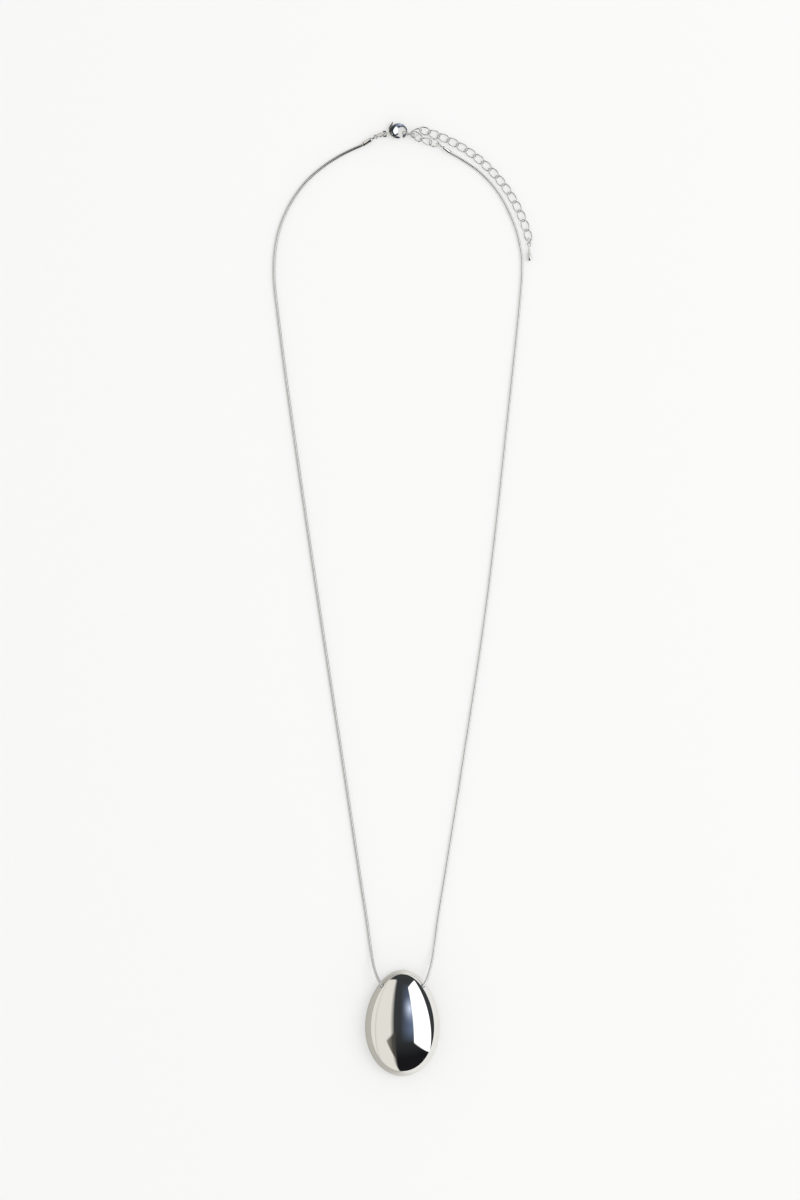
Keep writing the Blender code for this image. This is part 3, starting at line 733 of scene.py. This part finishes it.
def make_pendant():
    front = half_egg("pendant_front", 1, DOME_ROUNDNESS,
                     lambda heading: np.full_like(heading, TOP_ELEVATION))
    front = cut(front, chain_hole(-1), chain_hole(1))
    true_normals(front, DOME_ROUNDNESS)
    piece = mesh_object("pendant_front", front)
    piece.data.materials.append(polished("pendant_mirror", (0.80, 0.795, 0.78), 0.008, 0.001))
    stand_for(piece, "pendant_front_shell")

    def rest(heading):
        """The elevation at which the dish meets its flat rest."""
        low, high = np.zeros_like(heading), np.full_like(heading, math.pi / 2)
        for _ in range(REST_HALVINGS):
            middle = (low + high) / 2
            along = np.cos(middle) * np.sin(heading)
            half = EGG_HALF_WIDTH * (1 - EGG_TAPER * along - EGG_TAPER_SQUARED * along**2)
            above = np.sin(middle) * half * DISH_ROUNDNESS < SEAM_Z - SEAM_GAP / 2
            low, high = np.where(above, middle, low), np.where(above, high, middle)
        return low
    back = half_egg("pendant_back", -1, DISH_ROUNDNESS, rest)
    piece = mesh_object("pendant_back", back)
    piece.data.set_sharp_from_angle(angle=DISH_CREASE)
    piece.data.materials.append(polished("pendant_back_mirror", (0.78, 0.775, 0.76), 0.03, 0.02))
    stand_for(piece, "pendant_back_shell")


# ---------------------------------------------------------------- wires

def ring_mesh(name, radius, wire, slit=0.0):
    """A round wire bent to a ring in XY. A slit leaves a gap at +X, with rounded wire ends."""
    turn = np.linspace(slit / 2, 2 * math.pi - slit / 2, WIRE_STEPS + 1)
    if not slit:
        turn = turn[:-1]
    line = np.stack([radius * np.cos(turn), radius * np.sin(turn), 0 * turn], axis=1)

    def radius_at(along, _):
        if not slit:
            return np.full((len(line), WIRE_SIDES), wire)
        to_end = np.minimum(along, along[-1] - along)
        return wire * np.minimum(1, 0.75 + to_end / wire) * np.ones((1, WIRE_SIDES))
    return tube(name, line, radius_at, WIRE_SIDES, loop=not slit)


def make_rings(metal):
    for node, (radius, wire) in (("clasp_ring", JUMP_RING), ("extender_ring", JUMP_RING),
                                 ("charm_ring", CHARM_RING)):
        points = node_points(node)
        middle, _, normal = flat_frame(points)
        flat = points - middle
        flat -= np.outer(flat @ normal, normal)
        unknowns = np.column_stack([2 * flat, np.ones(len(flat))])
        fit = np.linalg.lstsq(unknowns, (flat**2).sum(axis=1), rcond=None)[0]
        centre = middle + fit[:3]
        slit_side = -fit[:3] if np.linalg.norm(fit[:3]) > 0.001 * MM else flat[0]
        mesh = ring_mesh(node, radius, wire, RING_SLIT)
        mesh.transform(frame_matrix(centre, slit_side, normal))
        ring = mesh_object(f"{node}_wire", mesh)
        ring.data.materials.append(metal)
        stand_for(ring, node)


def make_links(metal):
    turn = 2 * math.pi * np.arange(WIRE_STEPS) / WIRE_STEPS
    line = np.stack([LINK_HALF_LENGTH * np.cos(turn), LINK_HALF_WIDTH * np.sin(turn),
                     LINK_TWIST * np.sin(2 * turn)], axis=1)
    for number in range(1, LINK_COUNT + 1):
        node = f"extender_link_{number:02d}"
        middle, length, normal = flat_frame(node_points(node))
        mesh = tube(node, line, lambda along, turn: np.full((WIRE_STEPS, WIRE_SIDES), LINK_WIRE),
                    WIRE_SIDES, loop=True)
        mesh.transform(frame_matrix(middle, length, normal))
        link = mesh_object(f"{node}_wire", mesh)
        link.data.materials.append(metal)
        stand_for(link, node)


# ---------------------------------------------------------------- end caps and drop

def loop_normal(node, centre, reach):
    """The normal of the wire loop at one end of a node."""
    points = node_points(node)
    near = points[np.linalg.norm(points - np.array(centre), axis=1) < reach]
    _, axes = np.linalg.eigh(np.cov((near - near.mean(axis=0)).T))
    return axes[:, 0]


def joint_place(joint):
    joints = frame["record"]["behaviour"]["joints"]
    return Vector(next(row for row in joints if row["name"] == joint)["pos_m"])


def make_caps(metal):
    for node, joint, mouth in (("end_cap_left", "clasp_ring_turn", CHAIN_ROUTE[0]),
                               ("end_cap_right", "extender_ring_turn", CHAIN_ROUTE[-1])):
        centre = joint_place(joint)
        cup = turned(node, [(x * MM, radius * MM) for x, radius in CAP_PROFILE])
        cup = joined(node, [cup, ring_mesh("loop", *CAP_LOOP)])
        normal = loop_normal(node, centre, CAP_LOOP[0] + CAP_LOOP[1])
        cup.transform(frame_matrix(centre, mouth - centre, normal))
        cap = mesh_object(f"{node}_cup", cup)
        cap.data.set_sharp_from_angle(angle=TURNED_CREASE)
        cap.data.materials.append(metal)
        stand_for(cap, node)


def make_charm(metal):
    profile = [(CHARM_TOP, 0)]
    for along in np.linspace(*CHARM_ENDS, CHARM_STEPS):
        stem = CHARM_STEM * (1 - along)
        swell = math.sin(math.pi * along**CHARM_BELLY) ** CHARM_FULLNESS * along**CHARM_SLIMMING
        profile.append((CHARM_TOP + CHARM_LENGTH * along, CHARM_RADIUS * (stem + (1 - stem) * swell)))
    profile.append((CHARM_TOP + CHARM_LENGTH, 0))
    drop = joined("charm", [turned("drop", profile, CHARM_SIDES), ring_mesh("loop", *CHARM_LOOP)])
    centre = joint_place("charm_turn")
    points = node_points("charm_drop")
    far = points[np.argmax(np.linalg.norm(points - np.array(centre), axis=1))]
    normal = loop_normal("charm_drop", centre, CHARM_LOOP[0] + CHARM_LOOP[1])
    drop.transform(frame_matrix(centre, Vector(far) - centre, normal))
    charm = mesh_object("charm_teardrop", drop)
    charm.data.set_sharp_from_angle(angle=TURNED_CREASE)
    charm.data.materials.append(metal)
    stand_for(charm, "charm_drop")


# ---------------------------------------------------------------- clasp

def claw_mesh():
    """The claw's section is flat on both faces. Its inner half slopes down into the eye."""
    angles, widths = zip(*CLAW_RADII)
    turns = np.linspace(CLAW_START, CLAW_TIP, CLAW_STEPS)
    reach = np.interp(turns, angles, widths)
    thickness = np.interp(turns, *zip(*CLAW_HEIGHTS))
    kernel = np.hanning(2 * CLAW_SMOOTHING + 1)
    kernel /= kernel.sum()
    reach, thickness = [np.convolve(np.pad(values, CLAW_SMOOTHING, mode="edge"), kernel, mode="valid")
                        for values in (reach, thickness)]
    turns = np.radians(turns)
    outward = np.stack([np.cos(turns), np.sin(turns)], axis=1)
    size = np.stack([EYE_HALF_LENGTH + reach, EYE_HALF_WIDTH + reach], axis=1)
    middle = np.array(EYE_CENTRE) + outward * size
    around = 2 * np.pi * np.arange(CLAW_SIDES) / CLAW_SIDES
    points = []
    for centre, way, half, tall in zip(middle, outward, reach, thickness):
        squareness = CLAW_EDGE / half
        lean = np.sign(np.cos(around)) * np.abs(np.cos(around)) ** squareness
        height = np.sign(np.sin(around)) * np.abs(np.sin(around)) ** squareness * tall
        depth = np.clip((half - NARROW_CLAW) / (WIDE_CLAW - NARROW_CLAW), 0, 1)
        inward = np.clip(-lean, 0, None) * half
        outer = np.clip(lean, 0, None) * half
        top = np.minimum(height, tall - depth * COUNTERSINK_SLOPE * inward - CLAW_CROWN * outer)
        for u, z in zip(lean * half, np.where(height > 0, top, height)):
            points.append((centre[0] + way[0] * u, centre[1] + way[1] * u, z))
    faces = []
    for start in range(0, len(points) - CLAW_SIDES, CLAW_SIDES):
        end = start + CLAW_SIDES
        for side in range(CLAW_SIDES):
            beside = (side + 1) % CLAW_SIDES
            faces.append((start + side, start + beside, end + beside, end + side))
    faces.append(tuple(range(CLAW_SIDES)))
    faces.append(tuple(range(len(points) - 1, len(points) - CLAW_SIDES - 1, -1)))
    return closed_up(new_mesh("claw", np.array(points) * MM, faces))


def neck_mesh():
    """The neck between the claw and the tail loop, thicker towards the claw."""
    line = np.array([(*place, 0) for place, _ in NECK]) * MM
    along = np.linspace(0, 1, len(line))
    fine = np.linspace(0, 1, NECK_STEPS)
    path = np.stack([np.interp(fine, along, line[:, axis]) for axis in range(3)], axis=1)
    radii = np.interp(fine, along, [radius * MM for _, radius in NECK])
    return tube("neck", path, lambda along, turn: radii[:, None] * np.ones((1, NECK_SIDES)), NECK_SIDES)


def rounded(outline, passes):
    """Cuts the corners of an outline to a smooth curve."""
    points = np.array(outline)
    for _ in range(passes):
        following = np.roll(points, -1, axis=0)
        corners = [0.75 * points + 0.25 * following, 0.25 * points + 0.75 * following]
        points = np.stack(corners, axis=1).reshape(-1, 2)
    return points


def upright(profile, place, sides=40):
    """A turned piece that stands on Z at a place of the clasp, from points (height, radius)."""
    mesh = turned("upright", [(z * MM, radius * MM) for z, radius in profile], sides)
    lifted = Matrix.Rotation(-math.pi / 2, 4, "Y")
    mesh.transform(Matrix.Translation((place[0] * MM, place[1] * MM, 0)) @ lifted)
    return mesh


def pin_hole():
    return upright([(-PIN_HOLE_REACH, 0), (-PIN_HOLE_REACH, PIN_HOLE_RADIUS),
                    (PIN_HOLE_REACH, PIN_HOLE_RADIUS), (PIN_HOLE_REACH, 0)], PIVOT)


def domed(bottom, top, radius, edge):
    """A short cylinder with rounded ends, as points (height, radius)."""
    quarter = np.radians((90, 60, 30, 0))
    low = [(bottom + edge * (1 - math.sin(a)), radius - edge + edge * math.cos(a)) for a in quarter]
    high = [(top - edge * (1 - math.sin(a)), radius - edge + edge * math.cos(a)) for a in quarter[::-1]]
    return [(bottom, 0), *low, *high, (top, 0)]


def clasp_piece(name, mesh, node, metal):
    """A piece of the clasp, moved from its own middle to the clasp's place."""
    mesh.transform(Matrix.Translation(CLASP_CENTRE))
    piece = mesh_object(name, mesh)
    piece.data.materials.append(metal)
    stand_for(piece, node)


def make_clasp(metal, steel):
    loop = ring_mesh("tail_loop", TAIL_LOOP_RADIUS * MM, TAIL_LOOP_WIRE * MM)
    loop.transform(Matrix.Translation((TAIL_LOOP[0] * MM, TAIL_LOOP[1] * MM, 0)))
    flat = plate("flat", CASTING_FLATS, -CLAW_HALF_THICKNESS, CLAW_HALF_THICKNESS)
    body = fused(joined("clasp_claw", [claw_mesh(), cut(neck_mesh(), flat, operation="INTERSECT"), loop]),
                 CLAW_FILLING)
    pocket = upright([(0, 0), (0, SPRING_POCKET_RADIUS), (SPRING_POCKET_TOP, SPRING_POCKET_RADIUS),
                      (SPRING_POCKET_TOP, 0)], PIVOT)
    body = cut(body, plate("slot", SLOT, *SLOT_HEIGHTS), pocket, pin_hole())
    body.shade_smooth()
    body.set_sharp_from_angle(angle=CASTING_CREASE)
    body = applied(body, ("WEIGHTED_NORMAL", {"mode": "FACE_AREA", "weight": 80, "keep_sharp": True}))
    clasp_piece("clasp_claw", body, "clasp_body", metal)

    blade = applied(plate("blade", rounded(LEVER, LEVER_ROUNDING), *LEVER_HEIGHTS),
                    ("BEVEL", {"width": LEVER_BEVEL, "segments": LEVER_BEVEL_STEPS, "limit_method": "ANGLE",
                               "angle_limit": LEVER_BEVEL_ANGLE}))
    knob = upright(domed(-KNOB_HALF_LENGTH, KNOB_HALF_LENGTH, KNOB_RADIUS, KNOB_EDGE), KNOB)
    lever = cut(fused(joined("lever", [blade, knob]), LEVER_FILLING), pin_hole())
    lever.shade_smooth()
    lever.set_sharp_from_angle(angle=CASTING_CREASE)
    clasp_piece("clasp_lever_blade", lever, "clasp_lever", metal)

    pin = upright(domed(-PIN_HALF_LENGTH, PIN_HALF_LENGTH, PIN_RADIUS, PIN_EDGE), PIVOT)
    clasp_piece("clasp_rivet", pin, "clasp_pin", metal)

    coil = []
    for step in range(int(SPRING_TURNS * SPRING_STEPS) + 1):
        turn = SPRING_START + 2 * math.pi * step / SPRING_STEPS
        coil.append((SPRING_RADIUS * math.cos(turn), SPRING_RADIUS * math.sin(turn),
                     SPRING_BOTTOM + SPRING_PITCH * step / SPRING_STEPS))
    first = np.add(coil[0], SPRING_LEGS[0])
    last = np.add(coil[-1], SPRING_LEGS[1])
    line = (np.array([first, *coil, last]) + (*PIVOT, 0)) * MM
    spring = tube("spring", line, lambda along, turn: np.full((len(line), SPRING_SIDES), SPRING_WIRE * MM),
                  SPRING_SIDES)
    clasp_piece("clasp_torsion_spring", spring, "clasp_spring", steel)


make_camera()
make_chain()
make_floor()
make_world()
make_lights()
bpy.context.scene.view_settings.view_transform = "Standard"

FINDING_METAL = polished("finding_metal", (0.78, 0.775, 0.76), 0.04, 0.02)
LINK_METAL = polished("link_metal", (0.66, 0.66, 0.65), 0.08, 0.03)
SPRING_METAL = polished("spring_metal", (0.5, 0.5, 0.5), 0.25, 0.05)
make_pendant()
make_rings(FINDING_METAL)
make_links(LINK_METAL)
make_caps(FINDING_METAL)
make_charm(FINDING_METAL)
make_clasp(FINDING_METAL, SPRING_METAL)
